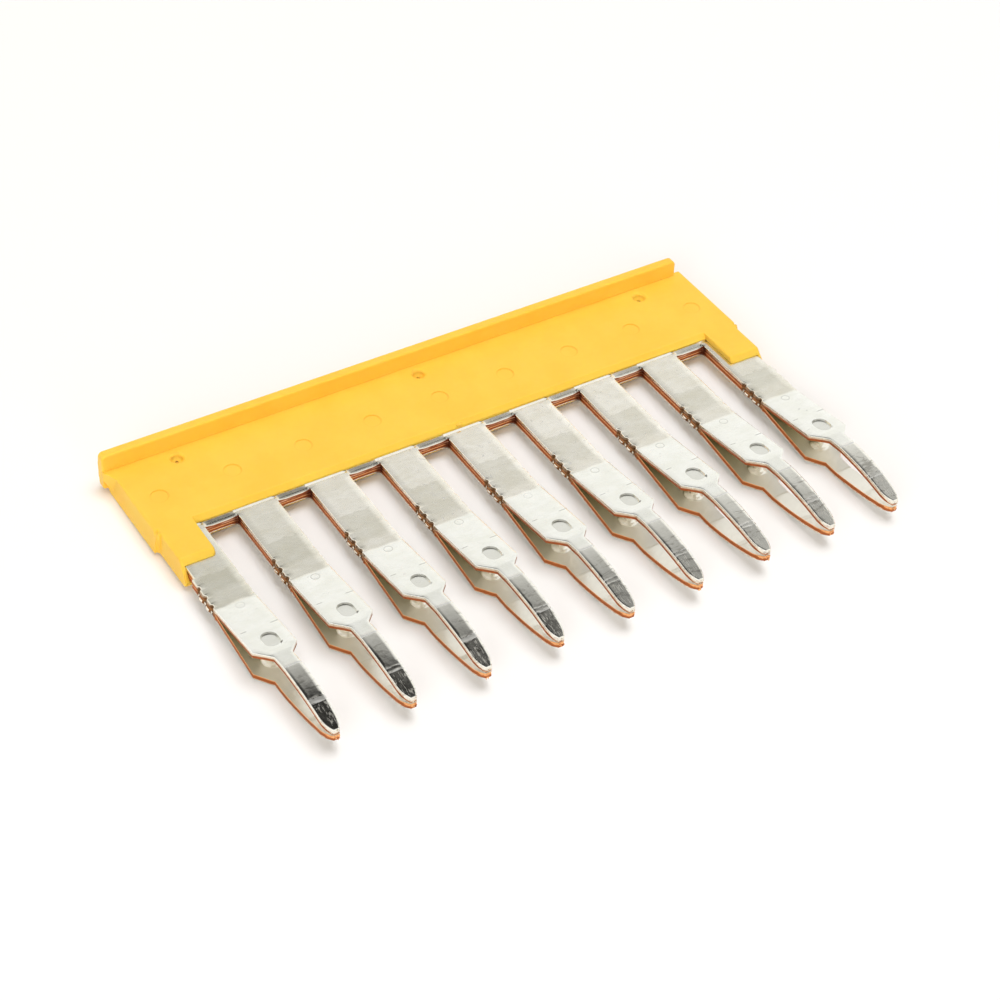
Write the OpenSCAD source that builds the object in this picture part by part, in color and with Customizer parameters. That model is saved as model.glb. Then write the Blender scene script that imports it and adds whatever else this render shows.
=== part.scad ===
/* [Row] */
// Number of legs, one for each terminal that is joined
poles = 9; // [3:1:16]
// Distance from one leg to the next
pitch = 5.1; // [4.8:0.1:6.5]
// Width of a leg
leg_w = 2.8; // [2.4:0.1:3.2]
// Thickness of the copper strip that each comb is stamped from
strip_t = 0.425; // [0.3:0.025:0.6]

/* [Spine] */
// Depth of the spine that ties the legs together
spine_d = 6.7; // [5:0.1:7]
// Width of the coined line across each leg root
root_line_w = 0.24; // [0.1:0.02:0.3]
// Depth of the coined line
root_line_depth = 0.06; // [0.02:0.01:0.1]
// Distance of the coined line behind the front edge of the spine
root_line_at = 0.27; // [0.15:0.01:0.3]

/* [Leg side view] */
// Length over which the two blades lie flat on each other
flat_l = 6.9; // [6.5:0.1:8]
// Length of the straight part that leads away from the middle plane
spread_l = 5.7; // [5.4:0.1:7]
// Length of the shallow part between the shoulders and the crown
throat_l = 1.3; // [0.8:0.1:2]
// Length of the sprung contact face from the crown to the nose
contact_l = 3.0; // [2.4:0.1:4]
// Length of the nose that closes down to the tip
nose_l = 2.1; // [1.6:0.1:2.8]
// Height of the inner face above the middle plane where the shoulders end
shoulder_h = 0.80; // [0.6:0.05:1]
// Height of the inner face at the crown
crown_h = 0.87; // [0.8:0.01:1.1]
// Height of the inner face where the nose begins
nose_h = 0.50; // [0.3:0.05:0.7]
// Gap between the two blades at the tip
tip_gap = 0.05; // [0.02:0.01:0.2]
// Inner radius of the bends
bend_r = 1.2; // [0.5:0.1:2]

/* [Leg outline] */
// Width of the prong where it leaves the shoulders
prong_w = 1.2; // [1:0.05:1.4]
// Width of the prong where the curves of the tip begin
prong_end_w = 1.04; // [0.9:0.02:1.2]
// Distance that the prong's left edge leans in before it curves to the tip
prong_lean = 0.2; // [0.1:0.02:0.3]
// Distance that the prong's right edge swells out beyond the end of the shoulder
prong_swell = 0.08; // [0.02:0.01:0.12]
// Sideways place of the prong, measured from the middle of the leg
prong_shift = 0.1; // [0:0.01:0.15]
// Length of the slanted shoulder on the outer left side
shoulder_left_l = 1.05; // [0.6:0.05:1.4]
// Length of the slanted shoulder on the right side
shoulder_right_l = 0.75; // [0.5:0.05:1.4]
// Length of the curved part of the tip
tip_curve_l = 1.1; // [0.8:0.05:1.4]
// Distance that the left edge curves in along that length
tip_curve_in = 0.38; // [0.3:0.02:0.44]
// Width of the blunt end of the tip
tip_w = 0.38; // [0.34:0.02:0.5]
// Length of the stub left where the strip was broken from its carrier
stub_l = 0.1; // [0.05:0.05:0.3]
// Width of that stub
stub_w = 0.32; // [0.2:0.02:0.36]

/* [Nicks and dimples] */
// Number of nicks along each side edge of a leg
nicks = 3; // [1:1:3]
// Distance from the spine's front edge to the middle of the first nick
nick_at = 4.75; // [4.4:0.05:5]
// Distance from one nick to the next
nick_pitch = 0.88; // [0.6:0.02:0.95]
// Length of a nick along the edge
nick_l = 0.42; // [0.2:0.02:0.5]
// Depth of a nick in the left edge
nick_depth = 0.12; // [0.05:0.01:0.2]
// Depth of a nick in the right edge
nick_depth_right = 0.05; // [0.03:0.01:0.1]
// Distance from the spine's front edge to the middle of the dimple
dimple_at = 11.3; // [10:0.05:11.5]
// Width of the dimple's oval pocket on the outer face
dimple_w = 1.04; // [0.8:0.02:1.2]
// Length of that pocket along the leg
dimple_l = 1.44; // [1.2:0.02:1.6]
// Depth of that pocket
dimple_depth = 0.2; // [0.1:0.02:0.24]
// Height of the boss that the dimple raises on the inner face
boss_h = 0.3; // [0.1:0.02:0.35]
// Diameter of the boss at its foot
boss_d = 1.4; // [1.2:0.05:1.6]
// Diameter of the boss at its top
boss_top_d = 0.9; // [0.6:0.05:1.1]

/* [Insulating body] */
// Wall of plastic above and below the combs
wall_t = 0.4; // [0.3:0.02:0.6]
// Distance of the plastic's front face behind the front edge of the spine
front_set = 0.49; // [0.45:0.01:0.7]
// Depth of the bevel along the front edge
bevel_d = 0.31; // [0.1:0.01:0.5]
// Height of that bevel
bevel_h = 0.32; // [0.1:0.01:0.35]
// Plastic beyond the combs at each end, at the top of the plate
side_top = 0.3; // [0.2:0.02:0.5]
// Plastic beyond the combs at each end, at the bottom of the plate
side_bottom = 0.5; // [0.3:0.02:0.7]
// Gap between the plastic and the combs that it was moulded round
fit_gap = 0.02; // [0.01:0.01:0.05]

/* [Lip] */
// Distance from the spine's back edge to the front face of the lip
lip_set = 0.53; // [0.4:0.01:1]
// Thickness of the lip
lip_t = 0.66; // [0.5:0.02:1]
// Height of the lip above the top of the plate
lip_up = 1.24; // [0.8:0.02:2]
// Height of the lip's lower edge above the bottom of the plate
lip_rise = 0.2; // [0.1:0.01:0.6]
// Distance that the lip reaches beyond the combs at the left end
lip_left = 0.78; // [0.6:0.02:1]
// Distance that the lip stops short of the end of the combs at the right end
lip_right = 0.29; // [0:0.01:0.5]
// Radius of the lip's upper corners
lip_r = 0.35; // [0.1:0.05:0.5]
// Radius of the lip's lower corners
lip_foot_r = 0.2; // [0.1:0.05:0.4]
// Length of the small gusset behind the left end of the plate
gusset_l = 1.0; // [0.5:0.1:2]
// Bevel along the bottom of the plate in front of the lip
heel_bevel = 0.24; // [0.1:0.02:0.3]
// Radius of the hollow corners where the covers leave the plate
step_r = 0.25; // [0.1:0.05:0.3]

/* [Leg covers] */
// Width of an outer leg that its cover hides
cover_w = 2.3; // [1.8:0.05:2.35]
// Distance from the spine's front edge to the top front edge of a cover
cover_top_l = 2.3; // [1.5:0.1:3]
// Distance that the cover's nose slopes forward between its top and the metal
cover_nose_l = 0.36; // [0.1:0.02:0.5]
// Distance that the underside of a cover reaches past its nose
cover_foot_l = 0.6; // [0.2:0.05:0.8]
// Plastic outside the edge of the outer legs, at the top of a cover
cover_side_top = 0.08; // [0.04:0.01:0.15]
// Plastic outside the edge of the outer legs, at the bottom of a cover
cover_side_bottom = 0.2; // [0.16:0.01:0.28]
// Recess in the outer edge of each end leg, which gives the cover its wall
end_recess = 0.15; // [0.1:0.01:0.2]
// Radius of a cover's inner front corner
cover_corner_r = 0.3; // [0.1:0.02:0.4]

/* [Moulding marks] */
// Diameter of the round ejector marks
mark_d = 1.15; // [0.8:0.05:1.6]
// Depth of those marks
mark_depth = 0.04; // [0.02:0.01:0.1]
// Distance of the marks behind the front edge of the spine
mark_at = 3.52; // [3:0.02:4]
// Diameter of the holes left by the pins that held the combs in the mould
pin_d = 0.8; // [0.5:0.05:1]
// Width of the bevel round the mouth of a pin hole
pin_bevel = 0.12; // [0.05:0.01:0.2]
// Distance of the pin holes in front of the spine's back edge
pin_set = 0.42; // [0.41:0.01:1]
// Distance of the outer pin holes from the middle, in pitches
pin_spread = 3.5; // [0.5:0.5:7]
// Radius of the gate's nub on the front bevel
gate_r = 0.22; // [0.1:0.02:0.3]
// Distance of the nub's top below the top of the plate
gate_drop = 0.08; // [0.05:0.01:0.2]
// Distance of the nub from the middle of the row, to the left
gate_shift = 0.25; // [0:0.05:1]

/* [Hidden] */
$fn = 48;
// Overlap that keeps joined shapes one solid, and overshoot of cutting shapes
over = 0.1;
// Steps in the rounding of a bend
bend_steps = 4;
// Total length of the row over the metal
row_l = (poles - 1) * pitch + leg_w;
// Distances along a leg, from the front edge of the spine
throat_at = flat_l + spread_l;
crown_at = throat_at + throat_l;
nose_at = crown_at + contact_l;
leg_l = nose_at + nose_l;
end_at = leg_l + stub_l;
// Angle at which the blades spread
spread_a = atan(shoulder_h / spread_l);
// Outline of the prong, across the leg
prong_mid = leg_w / 2 + prong_shift;
prong_x = prong_mid - prong_w / 2;
prong_right = prong_x + prong_w + prong_swell;
prong_end_x = prong_x + prong_lean;
prong_end_right = prong_end_x + prong_end_w;
tip_x = prong_end_x + tip_curve_in;
// The shoulders end where the blade turns to the throat
shoulder_end = throat_at + throat_l / 5;
// Corners of the side view: distance along the leg, height of the inner face
corners = [
    [-spine_d, 0],
    [flat_l, 0],
    [throat_at, shoulder_h],
    [crown_at, crown_h],
    [nose_at, nose_h],
    [leg_l, tip_gap / 2],
    [end_at + over, tip_gap / 2]
];
// Half the thickness of the plate of the body
plate_h = strip_t + wall_t;
// Places of the lip
lip_front = spine_d + lip_set;
lip_back = lip_front + lip_t;
lip_top = plate_h + lip_up;
lip_bottom = lip_rise - plate_h;
// Half height of the opening that holds both combs
slot_h = strip_t + fit_gap;
// Length of the recess in the outer edge of an end leg
recess_l = cover_top_l + cover_nose_l + cover_foot_l + 0.6;
// Places of the pin holes along the row, kept inside it
pin_reach = min(pin_spread * pitch, row_l / 2 - pin_d);
pins = [row_l / 2 - pin_reach, row_l / 2, row_l / 2 + pin_reach];

// Angle of the straight from corner i to the next
function heading(c, i) = atan2(c[i + 1][1] - c[i][1], c[i + 1][0] - c[i][0]);

// Point and heading along the arc that rounds corner i
function arc_state(c, i, r, s) =
    let (
        a0 = heading(c, i - 1),
        a1 = heading(c, i),
        turn = a1 - a0,
        side = sign(turn),
        lead = r * tan(abs(turn) / 2),
        start = c[i] - lead * [cos(a0), sin(a0)],
        mid = start + side * r * [-sin(a0), cos(a0)],
        a = a0 + turn * s
    )
    [mid - side * r * [-sin(a), cos(a)], a];

// The whole side view as points with headings, all bends rounded
function rounded(c, r, n) = concat(
    [[c[0], heading(c, 0)]],
    [for (i = [1:len(c) - 2]) for (k = [0:n]) arc_state(c, i, r, k / n)],
    [[c[len(c) - 1], heading(c, len(c) - 2)]]
);

blade_path = rounded(corners, bend_r, bend_steps);
inner_line = [for (p = blade_path) p[0]];
outer_line = [for (p = blade_path) p[0] + strip_t * [-sin(p[1]), cos(p[1])]];
// Height of the middle plane over the lowest point of the bar
mid_z = max([for (p = outer_line) p[1]]);
// Middle of the whole bar, seen from above
centre_x = (row_l + side_bottom - lip_left) / 2;
centre_y = (lip_back - end_at) / 2;

// Extrudes a side view, drawn as depth and height, along the row
module along_row(from, to) {
    translate([from, 0, 0]) rotate([90, 0, 90]) linear_extrude(to - from) children();
}

// Extrudes a front view, drawn as width and height, from one depth back to another
module along_depth(from, to) {
    translate([0, to, 0]) rotate([90, 0, 0]) linear_extrude(to - from) children();
}

// Places its children at every leg
module each_leg() {
    for (i = [0:poles - 1]) translate([i * pitch, 0, 0]) children();
}

// Moves from the frame of the legs to that of the whole bar
module in_place() {
    translate([-centre_x, -centre_y, mid_z]) children();
}

// Side view of one bent blade, with forward along -Y
module blade_side_view() {
    points = concat(outer_line, [for (i = [len(inner_line) - 1:-1:0]) inner_line[i]]);
    polygon([for (p = points) [-p[0], p[1]]]);
}

// Nicks of a given depth along one edge, with their points towards +X
module edge_nicks(depth) {
    for (k = [0:nicks - 1]) {
        translate([0, -nick_at - k * nick_pitch])
            polygon([
                [-over, -nick_l / 2],
                [0, -nick_l / 2],
                [depth, -nick_l / 5],
                [depth, nick_l / 5],
                [0, nick_l / 2],
                [-over, nick_l / 2]
            ]);
    }
}

// Waste outside the curve that takes an edge at x = 0 in to the tip, towards +X
module tip_waste(run) {
    r = (run * run + tip_curve_l * tip_curve_l) / (2 * run);
    difference() {
        translate([-over, -leg_l - over]) square([run + over, tip_curve_l + over]);
        translate([r, tip_curve_l - leg_l]) circle(r = r, $fn = 96);
    }
}

// Outline of a leg seen from above
module leg_outline() {
    difference() {
        polygon([
            [0, over],
            [0, shoulder_left_l - shoulder_end],
            [prong_x, -shoulder_end],
            [prong_end_x, tip_curve_l - leg_l],
            [prong_end_x, -leg_l],
            [prong_end_right, -leg_l],
            [prong_end_right, tip_curve_l - leg_l],
            [prong_right, -nose_at],
            [prong_right, -(crown_at + nose_at) / 2],
            [prong_x + prong_w, -shoulder_end],
            [leg_w, shoulder_right_l - shoulder_end],
            [leg_w, over]
        ]);
        edge_nicks(nick_depth);
        translate([leg_w, 0]) mirror([1, 0]) edge_nicks(nick_depth_right);
        translate([prong_end_x, 0]) tip_waste(tip_curve_in);
        translate([prong_end_right, 0]) mirror([1, 0]) tip_waste(prong_end_right - tip_w - tip_x);
    }
    translate([tip_x + (tip_w - stub_w) / 2, -end_at]) square([stub_w, stub_l + over]);
}

// Outline of a whole comb seen from above
module comb_outline() {
    difference() {
        union() {
            square([row_l, spine_d]);
            for (i = [0:poles - 1]) translate([i * pitch, 0]) leg_outline();
        }
        translate([-over, -recess_l])
            square([end_recess + over, recess_l + front_set + fit_gap]);
        translate([row_l - end_recess, -recess_l])
            square([end_recess + over, recess_l + front_set + fit_gap]);
    }
}

// Frame on the inner face of the spread blade, at the dimple
module at_dimple() {
    rise = (dimple_at - flat_l) * tan(spread_a);
    translate([prong_mid, -dimple_at, rise]) rotate([-spread_a, 0, 0]) children();
}

// Oval outline of the dimple's pocket
module dimple_outline() {
    run = dimple_l - dimple_w;
    square([dimple_w, run], center = true);
    for (side = [-1, 1]) translate([0, side * run / 2]) circle(d = dimple_w);
}

// Coined line across the root of a leg
module root_line() {
    half = root_line_w / 2;
    r = (half * half + root_line_depth * root_line_depth) / (2 * root_line_depth);
    translate([-over, root_line_at, strip_t + r - root_line_depth])
        rotate([0, 90, 0])
            cylinder(r = r, h = leg_w + 2 * over);
}

// One comb, with its inner face on the middle plane and its blades bent upwards
module comb() {
    difference() {
        union() {
            intersection() {
                linear_extrude(mid_z + over) comb_outline();
                along_row(-over, row_l + over) blade_side_view();
            }
            each_leg() at_dimple() translate([0, 0, -boss_h])
                cylinder(d1 = boss_top_d, d2 = boss_d, h = boss_h + strip_t / 8);
        }
        each_leg() at_dimple() translate([0, 0, strip_t - dimple_depth])
            linear_extrude(dimple_depth + over) dimple_outline();
        each_leg() root_line();
    }
}

// Side view of the plate, bevelled along its upper front edge
module plate_side_view() {
    polygon([
        [front_set, -plate_h],
        [lip_front - heel_bevel, -plate_h],
        [lip_front, heel_bevel - plate_h],
        [lip_front + lip_t / 2, heel_bevel - plate_h + lip_t / 2],
        [lip_front + lip_t / 2, plate_h],
        [front_set + bevel_d, plate_h],
        [front_set, plate_h - bevel_h]
    ]);
}

// Front view of the plate, wider at its bottom than at its top
module plate_front_view() {
    polygon([
        [-side_top, plate_h],
        [-side_bottom, -plate_h],
        [row_l + side_bottom, -plate_h],
        [row_l + side_top, plate_h]
    ]);
}

// Plate that holds the spines
module plate() {
    intersection() {
        along_row(-side_bottom, row_l + side_bottom) plate_side_view();
        along_depth(0, lip_back) plate_front_view();
    }
}

// Hollow rounding between the side of a cover and the front of the plate
module step_fillet() {
    edge = -cover_side_bottom - step_r;
    intersection() {
        along_depth(front_set - step_r, front_set + over) plate_front_view();
        linear_extrude(2 * plate_h, center = true) difference() {
            translate([edge, front_set - step_r]) square([step_r - edge, step_r + over]);
            translate([edge, front_set - step_r]) circle(r = step_r);
        }
    }
}

// Lip along the back edge, moved a little towards the left end
module lip() {
    l = lip_left + row_l - lip_right;
    h = lip_top - lip_bottom;
    along_depth(lip_front, lip_back)
        translate([-lip_left, lip_bottom]) {
            translate([lip_r, 0]) square([l - 2 * lip_r, h]);
            translate([0, lip_foot_r]) square([l, h - lip_foot_r - lip_r]);
            for (x = [lip_r, l - lip_r]) translate([x, h - lip_r]) circle(r = lip_r);
            for (x = [lip_foot_r, l - lip_foot_r]) translate([x, lip_foot_r]) circle(r = lip_foot_r);
        }
}

// Gusset that carries the left end of the lip
module gusset() {
    intersection() {
        along_depth(lip_front - gusset_l, lip_front + lip_t / 2)
            polygon([
                [-lip_left, plate_h],
                [-lip_left, plate_h / 4],
                [-side_top, heel_bevel - plate_h],
                [0, heel_bevel - plate_h],
                [0, plate_h]
            ]);
        linear_extrude(2 * plate_h, center = true)
            polygon([
                [-lip_left, lip_front + lip_t / 2],
                [-lip_left, lip_front],
                [-side_top, lip_front - gusset_l],
                [0, lip_front - gusset_l],
                [0, lip_front + lip_t / 2]
            ]);
    }
}

// Side view of a leg cover: sloping nose above, longer foot below
module cover_side_view() {
    nose = cover_top_l + cover_nose_l;
    foot = nose + cover_foot_l;
    polygon([
        [front_set + bevel_d, plate_h],
        [-cover_top_l, plate_h],
        [-nose, strip_t],
        [-foot, -strip_t],
        [-foot + cover_nose_l / 3, -plate_h],
        [front_set + bevel_d, -plate_h]
    ]);
}

// Cover round the outer part of the first leg
module leg_cover() {
    reach = cover_top_l + cover_nose_l + cover_foot_l + over;
    back = front_set + bevel_d;
    intersection() {
        along_row(-side_bottom, cover_w) cover_side_view();
        along_depth(-reach, back)
            polygon([
                [-cover_side_top, plate_h],
                [-cover_side_bottom, -plate_h],
                [cover_w, -plate_h],
                [cover_w, plate_h]
            ]);
        linear_extrude(2 * plate_h, center = true) difference() {
            translate([-side_bottom, -reach]) square([side_bottom + cover_w, reach + back]);
            translate([cover_w - cover_corner_r, -cover_top_l - cover_nose_l]) difference() {
                translate([0, -cover_foot_l - over])
                    square([cover_corner_r + over, cover_foot_l + over + cover_corner_r]);
                translate([0, cover_corner_r]) circle(r = cover_corner_r);
                translate([-over, -cover_foot_l - over]) square([over, cover_foot_l + over]);
            }
        }
    }
}

// Opening for the spines and, past the plate's front face, for the end legs
module comb_opening() {
    reach = recess_l + over;
    translate([-fit_gap, front_set, -slot_h])
        cube([row_l + 2 * fit_gap, spine_d + fit_gap - front_set, 2 * slot_h]);
    translate([end_recess - fit_gap, -reach, -slot_h])
        cube([row_l - 2 * end_recess + 2 * fit_gap, reach + front_set + over, 2 * slot_h]);
}

// Pin hole from one face of the plate down to the metal
module pin_hole() {
    translate([0, spine_d - pin_set, 0]) {
        cylinder(d = pin_d, h = plate_h + over);
        translate([0, 0, plate_h - pin_bevel])
            cylinder(d1 = pin_d, d2 = pin_d + 2 * pin_bevel + 2 * over, h = pin_bevel + over);
    }
}

// Round marks of the ejector pins
module ejector_marks() {
    each_leg() translate([leg_w / 2, mark_at, plate_h - mark_depth])
        cylinder(d = mark_d, h = mark_depth + over);
}

// Nub on the front bevel, where the gate was broken off
module gate_nub() {
    translate([row_l / 2 - gate_shift, front_set + gate_r, slot_h])
        cylinder(r = gate_r, h = plate_h - gate_drop - slot_h);
}

// Yellow moulded body
module insulating_body() {
    color("gold") in_place() difference() {
        union() {
            plate();
            lip();
            gusset();
            gate_nub();
            leg_cover();
            step_fillet();
            translate([row_l, 0, 0]) mirror([1, 0, 0]) {
                leg_cover();
                step_fillet();
            }
        }
        comb_opening();
        for (x = pins) translate([x, 0, 0]) {
            pin_hole();
            mirror([0, 0, 1]) pin_hole();
        }
        ejector_marks();
    }
}

// Upper tinned copper comb
module upper_contact_comb() {
    color("silver") in_place() comb();
}

// Lower tinned copper comb, the mirror image of the upper one
module lower_contact_comb() {
    color("silver") in_place() mirror([0, 0, 1]) comb();
}

insulating_body();
upper_contact_comb();
lower_contact_comb();
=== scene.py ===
"""Jumper bar: two tinned copper combs in a yellow moulded body, on a white table."""
import math

import bpy
import bmesh
import numpy as np
from mathutils import Matrix, Vector, noise
from mathutils.geometry import delaunay_2d_cdt


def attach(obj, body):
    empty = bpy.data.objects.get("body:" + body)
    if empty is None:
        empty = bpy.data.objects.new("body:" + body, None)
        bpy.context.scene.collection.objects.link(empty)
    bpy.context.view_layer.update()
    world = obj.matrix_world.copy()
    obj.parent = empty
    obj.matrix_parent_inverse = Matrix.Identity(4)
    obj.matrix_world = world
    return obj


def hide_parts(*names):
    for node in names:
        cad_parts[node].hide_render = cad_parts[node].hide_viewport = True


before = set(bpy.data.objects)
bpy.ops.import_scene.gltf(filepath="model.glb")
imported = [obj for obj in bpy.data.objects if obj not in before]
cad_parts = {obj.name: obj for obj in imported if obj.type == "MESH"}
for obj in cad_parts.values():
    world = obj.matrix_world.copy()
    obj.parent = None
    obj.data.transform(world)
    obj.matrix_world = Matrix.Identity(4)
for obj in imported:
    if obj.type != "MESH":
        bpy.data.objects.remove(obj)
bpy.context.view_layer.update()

MM = 0.001
POLES = 9
PITCH = 5.1
LEG_W = 2.8
STRIP = 0.425
ROW = (POLES - 1) * PITCH + LEG_W
SPINE_D = 6.7
# Corners of a blade's inner face: distance along the leg, height over the middle plane
CORNERS = [(-SPINE_D, 0.0), (6.9, 0.0), (12.6, 0.80), (13.9, 0.87), (16.9, 0.50),
           (19.0, 0.025), (19.6, 0.025)]
BEND_R = 1.2
ARCH_RUN = 3.0
ARCH_RISE = 0.20
LEG_L = 19.0
LEFT_SHOULDER = 1.05
RIGHT_SHOULDER = 0.75
SHOULDER_END = 12.86
CROWN_F = 13.9
NOSE_F = 17.9
# The end legs are narrower by this much under the covers, which reach this far along them
END_IN = 0.15
COVER_F = 3.86
# Rows of outline points along the ends of the spine, from the back
SPINE_ROWS = (SPINE_D, 4.0, 1.2, 0.51)
STEP_Y = 0.2
ROOT_R = 0.08
# Middle of the bar in the frame of the legs
CENTRE_X = 21.66
CENTRE_Y = -5.605


def smooth(a, b, x):
    """Rises from 0 at a to 1 at b with soft ends."""
    t = min(max((x - a) / (b - a), 0.0), 1.0)
    return t * t * (3 - 2 * t)


def wave(x, y, z, scale):
    """Slow unevenness that swings round 0."""
    return noise.noise(Vector((x * scale, y * scale, z)))


# Blades

def bent_lines(n=6):
    """Inner and outer lines of a blade's side view, with every bend rounded."""
    inner, outer = [], []
    def put(p, a):
        inner.append(p)
        outer.append((p[0] - STRIP * math.sin(a), p[1] + STRIP * math.cos(a)))
    head = [math.atan2(b[1] - a[1], b[0] - a[0]) for a, b in zip(CORNERS, CORNERS[1:])]
    put(CORNERS[0], head[0])
    for i in range(1, len(CORNERS) - 1):
        a0, a1 = head[i - 1], head[i]
        turn = a1 - a0
        side = 1 if turn > 0 else -1
        lead = BEND_R * math.tan(abs(turn) / 2)
        start = (CORNERS[i][0] - lead * math.cos(a0), CORNERS[i][1] - lead * math.sin(a0))
        mid = (start[0] - side * BEND_R * math.sin(a0), start[1] + side * BEND_R * math.cos(a0))
        for k in range(n + 1):
            a = a0 + turn * k / n
            put((mid[0] + side * BEND_R * math.sin(a), mid[1] - side * BEND_R * math.cos(a)), a)
    put(CORNERS[-1], head[-1])
    return np.array(inner), np.array(outer)


INNER, OUTER = bent_lines()
MID_Z = float(OUTER[:, 1].max())


def swell(f):
    """The back of a prong is arched a little between its crown and its nose."""
    t = min(max((f - CROWN_F) / ARCH_RUN, 0.0), 1.0)
    return ARCH_RISE * t * (1 - t)


def inner_z(f):
    """Height of a blade's inner face over the middle plane."""
    return float(np.interp(f, INNER[:, 0], INNER[:, 1])) + swell(f)


def outer_z(f):
    """Height of its outer face."""
    return float(np.interp(f, OUTER[:, 0], OUTER[:, 1])) + swell(f)


NICKS = [4.75 + 0.88 * k for k in range(3)]
NICK_IN = 0.12
LEFT, RIGHT, OTHER = 1, 2, 0


def nick_depth(f, deep):
    """How far a side edge is nicked in at this distance along the leg."""
    for c in NICKS:
        d = abs(f - c)
        if d < 0.21:
            return deep if d < 0.084 else deep * (0.21 - d) / 0.126
    return 0.0


def left_x(f):
    """Left edge of a leg, across from its own left side."""
    if f < SHOULDER_END - LEFT_SHOULDER:
        return nick_depth(f, NICK_IN)
    if f < SHOULDER_END:
        return 0.9 * (f - SHOULDER_END + LEFT_SHOULDER) / LEFT_SHOULDER
    if f < NOSE_F:
        return 0.9 + 0.2 * (f - SHOULDER_END) / (NOSE_F - SHOULDER_END)
    return 1.1 + 1.782 - math.sqrt(1.782 ** 2 - (f - NOSE_F) ** 2)


def right_x(f):
    """Right edge of a leg."""
    if f < SHOULDER_END - RIGHT_SHOULDER:
        return LEG_W - nick_depth(f, 0.05)
    if f < SHOULDER_END:
        return LEG_W - 0.7 * (f - SHOULDER_END + RIGHT_SHOULDER) / RIGHT_SHOULDER
    if f < 15.4:
        return 2.1 + 0.08 * (f - SHOULDER_END) / (15.4 - SHOULDER_END)
    if f < 16.9:
        return 2.18
    if f < NOSE_F:
        return 2.18 - 0.04 * (f - 16.9)
    return 2.14 - 2.301 + math.sqrt(2.301 ** 2 - (f - NOSE_F) ** 2)


def stations():
    """Places along a leg that have a row of points, close together where the blade has detail."""
    s = [0.12, 0.3, 0.6, 1.2, 2.0, 2.8, 3.6, 4.2]
    for c in NICKS:
        s += [c - 0.27, c - 0.21, c - 0.147, c - 0.084, c, c + 0.084, c + 0.147, c + 0.21, c + 0.27]
        s += [c + 0.38, c + 0.48]
    s += [6.7, 6.76, 6.82, 6.88, 6.94, 7.0, 7.06, 7.12, 7.2, 7.5, 8.2, 9.0, 9.8, 10.2, 10.4, 11.0, 11.5]
    s += [SHOULDER_END - LEFT_SHOULDER, 12.0, SHOULDER_END - RIGHT_SHOULDER, SHOULDER_END]
    s += [12.3, 12.5, 12.57, 12.63, 12.7]
    s += [13.1, 13.35, 13.6, 13.72, 13.78, 13.84, 13.9, 13.96, 14.02, 14.1, 14.3, 14.55, 14.8, 15.1, 15.4]
    s += [15.7, 16.0, 16.3, 16.45, 16.54, 16.6, 16.65, 16.7, 16.76, 16.82, 16.88, 16.92, 16.96, 17.0, 17.05]
    s += [17.1, 17.2, 17.35, 17.5, 17.7, NOSE_F] + [18.0 + 0.1 * k for k in range(10)] + [18.97]
    return sorted(set(round(v, 4) for v in s))


STATIONS = stations()


def root_corner(a):
    """Where a point of the rounded corner between a leg and the spine stands off the leg and the spine."""
    return ROOT_R * (1 - math.sin(a * math.pi / 2)), ROOT_R * (1 - math.cos(a * math.pi / 2))


def comb_loop():
    """Outline of the comb, anticlockwise from above, with each point's side, and the rows across the legs."""
    loop, sides, rows = [], [], []

    def put(x, y, side=OTHER):
        loop.append((x, y))
        sides.append(side)

    for y in SPINE_ROWS:
        put(0.0, y)
    put(END_IN, SPINE_ROWS[-1])
    put(END_IN, STEP_Y)
    for i in range(POLES):
        x0 = i * PITCH
        first, last = i == 0, i == POLES - 1
        left_places, right_places = {}, {}
        if not first:
            for a in (0.0, 0.5, 1.0):
                dx, dy = root_corner(a)
                put(x0 - dx, -dy)
        for f in STATIONS:
            x = left_x(f)
            if first and f < COVER_F:
                x = END_IN
            left_places[f] = len(loop)
            put(x0 + x, -f, LEFT)
            if first and f == 3.6:
                put(x0 + END_IN, -COVER_F, LEFT)
                put(x0, -COVER_F, LEFT)
        for x in (1.49, 1.57, 1.67, 1.77, 1.85):
            put(x0 + x, -LEG_L)
        for f in reversed(STATIONS):
            x = right_x(f)
            if last and f < COVER_F:
                x = LEG_W - END_IN
            if last and f == 3.6:
                put(x0 + LEG_W, -COVER_F, RIGHT)
                put(x0 + LEG_W - END_IN, -COVER_F, RIGHT)
            right_places[f] = len(loop)
            put(x0 + x, -f, RIGHT)
        rows += [(left_places[f], right_places[f]) for f in STATIONS]
        if not last:
            for a in (1.0, 0.5, 0.0):
                dx, dy = root_corner(a)
                put(x0 + LEG_W + dx, -dy)
            for k in (1, 2, 3):
                put(x0 + LEG_W + (PITCH - LEG_W) * k / 4, 0.0)
    put(ROW - END_IN, STEP_Y)
    put(ROW - END_IN, SPINE_ROWS[-1])
    for y in reversed(SPINE_ROWS):
        put(ROW, y)
    for i in range(POLES - 1, 0, -1):
        put(i * PITCH - 1.1, SPINE_D)
    return loop, sides, rows


def roll_size(side, f):
    """Width and drop of the rounding that the punch leaves along an edge."""
    if side == RIGHT:
        return 0.13 - 0.04 * smooth(12.0, 13.0, f) - 0.03 * smooth(18.0, 18.9, f), 0.05
    if side == LEFT:
        return 0.07, 0.07
    return 0.06, 0.05


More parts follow.
